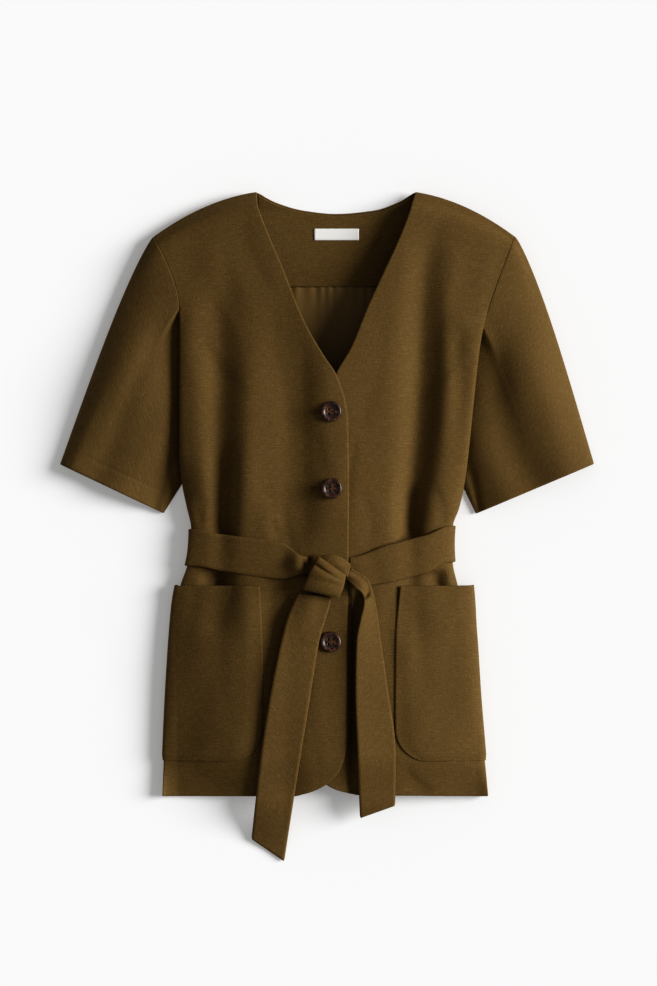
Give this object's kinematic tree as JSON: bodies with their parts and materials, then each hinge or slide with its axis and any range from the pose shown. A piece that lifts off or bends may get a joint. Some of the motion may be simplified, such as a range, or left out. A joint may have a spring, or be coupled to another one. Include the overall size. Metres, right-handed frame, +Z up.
{
  "type": "short-sleeved blazer",
  "caption": "Belted, collarless short-sleeved blazer with a V neck, patch pockets and a tied belt, lying flat on its back as one rigid form.",
  "frame": {"origin": "middle of the garment's box in plan, on the surface that it lies on", "axes": "+Y from hem to neck, +X to the right as seen from above, +Z up from the surface"},
  "size_m": [0.5894, 0.7368, 0.0582],
  "materials": {
    "cloth": "bronze-olive linen-blend plain weave with fine slubs and a slight sheen",
    "lining": "smooth bronze lining with a soft satin sheen",
    "label": "plain off-white woven label, blank",
    "button": "glossy mottled dark-brown horn effect"
  },
  "bodies": {
    "root": {"back": "cloth", "front_left": "cloth", "front_right": "cloth", "sleeve_left": "cloth", "sleeve_right": "cloth", "pocket_left": "cloth", "pocket_right": "cloth", "back_neck_facing": "cloth", "lining": "lining", "label": "label", "button_1": "button", "button_2": "button", "button_3": "button", "button_4": "button", "belt_band": "cloth", "belt_knot": "cloth", "belt_tail_left": "cloth", "belt_tail_right": "cloth"}
  },
  "joints": []
}
